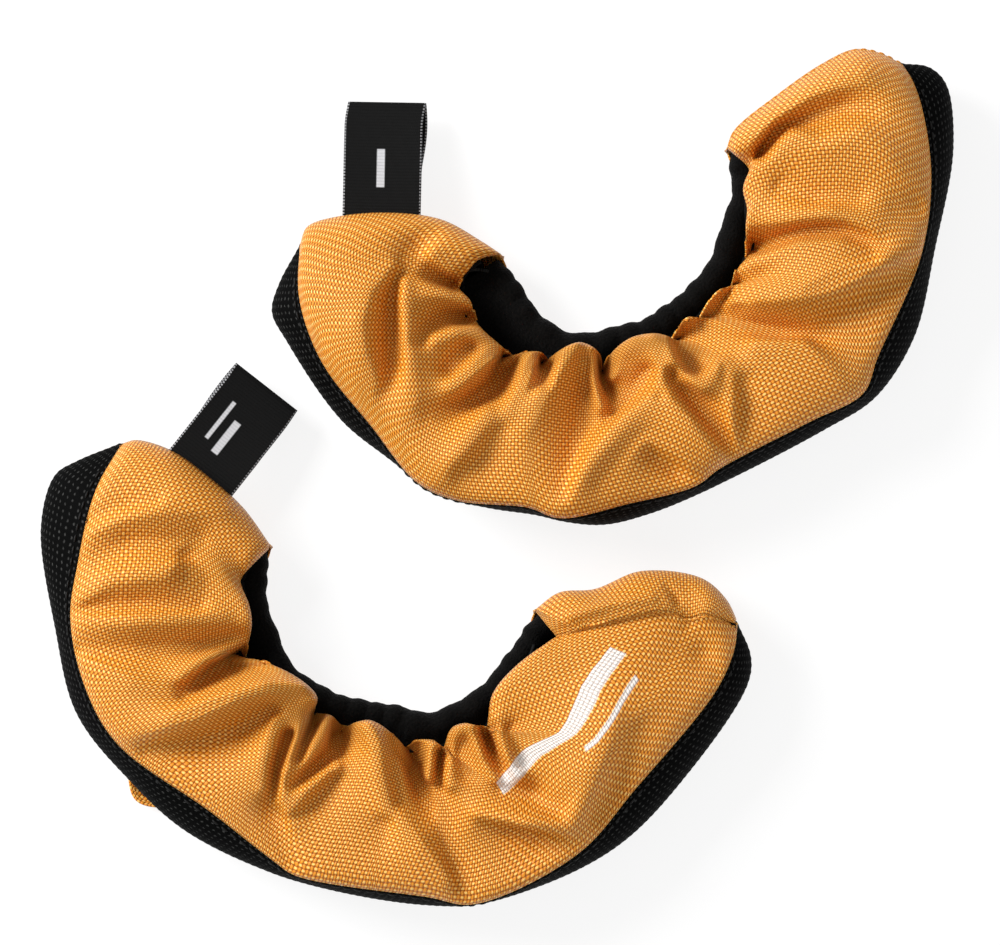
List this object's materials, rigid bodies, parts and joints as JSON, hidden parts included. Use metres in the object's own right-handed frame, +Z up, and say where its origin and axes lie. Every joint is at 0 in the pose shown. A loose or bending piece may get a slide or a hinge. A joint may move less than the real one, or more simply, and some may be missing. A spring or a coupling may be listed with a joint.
{
  "type": "skate blade guards",
  "caption": "Soft crescent-shaped skate blade covers with a webbing sole, terry lining, gathered elastic mouth and a woven label loop.",
  "frame": {"origin": "on the surface the guards lie on, under the middle of the pair's bounding box", "axes": "+Z up from that surface through the guards' thickness; +X along the pair's longest extent, from the left guard's heel towards the right guard's toe; +Y across it, the way the mouths open"},
  "size_m": [0.2572, 0.2423, 0.032],
  "materials": {
    "orange_cloth": "coarse plain-weave coated nylon, satin highlights on each yarn",
    "black_webbing": "heavy woven polypropylene webbing, ribbed, semi-matt",
    "black_terry": "short-loop terry knit, matt and fuzzy",
    "black_elastic": "knitted elastic, matt",
    "black_thread": "bonded polyester thread, low sheen",
    "seam_tape": "folded woven tape, matt",
    "black_label": "satin-woven ribbon, soft sheen"
  },
  "bodies": {
    "left_guard": {"left_webbing_sole": "black_webbing", "left_insole_strip": "black_terry", "left_under_panel": "orange_cloth", "left_under_lining": "black_terry", "left_under_mouth_band": "black_terry", "left_mouth_elastic": "black_elastic", "left_top_sole_stitch": "black_thread", "left_under_sole_stitch": "black_thread", "left_under_mouth_stitch": "black_thread", "left_heel_seam_tape": "seam_tape", "left_toe_seam_tape": "seam_tape"},
    "left_top_wall": {"left_top_panel": "orange_cloth", "left_top_lining": "black_terry", "left_top_mouth_band": "black_terry", "left_top_mouth_stitch": "black_thread", "left_toe_topstitch": "black_thread"},
    "left_label": {"left_label_loop": "black_label", "left_label_bartack": "black_thread"},
    "right_guard": {"right_webbing_sole": "black_webbing", "right_insole_strip": "black_terry", "right_under_panel": "orange_cloth", "right_under_lining": "black_terry", "right_under_mouth_band": "black_terry", "right_mouth_elastic": "black_elastic", "right_top_sole_stitch": "black_thread", "right_under_sole_stitch": "black_thread", "right_under_mouth_stitch": "black_thread", "right_heel_seam_tape": "seam_tape", "right_toe_seam_tape": "seam_tape"},
    "right_top_wall": {"right_top_panel": "orange_cloth", "right_top_lining": "black_terry", "right_top_mouth_band": "black_terry", "right_top_mouth_stitch": "black_thread", "right_toe_topstitch": "black_thread"},
    "right_label": {"right_label_loop": "black_label", "right_label_bartack": "black_thread"}
  },
  "joints": [
    {"name": "right_guard_lift", "type": "slide", "parent": "left_guard", "child": "right_guard", "axis": [0, 0, 1], "range_m": [0, 0.12]},
    {"name": "left_mouth_spread", "type": "slide", "parent": "left_guard", "child": "left_top_wall", "axis": [0, 0, 1], "range_m": [0, 0.008], "stiffness_N_per_m": 100},
    {"name": "right_mouth_spread", "type": "slide", "parent": "right_guard", "child": "right_top_wall", "axis": [0, 0, 1], "range_m": [0, 0.008], "stiffness_N_per_m": 100},
    {"name": "left_label_flap", "type": "hinge", "parent": "left_guard", "child": "left_label", "pos_m": [-0.08255, 0.00305, 0.014], "axis": [0.788, -0.6157, 0], "range_deg": [-12, 65], "stiffness_Nm_per_rad": 0.003},
    {"name": "right_label_flap", "type": "hinge", "parent": "right_guard", "child": "right_label", "pos_m": [-0.03255, 0.07705, 0.014], "axis": [0.9998, -0.0174, 0], "range_deg": [-12, 65], "stiffness_Nm_per_rad": 0.003}
  ]
}
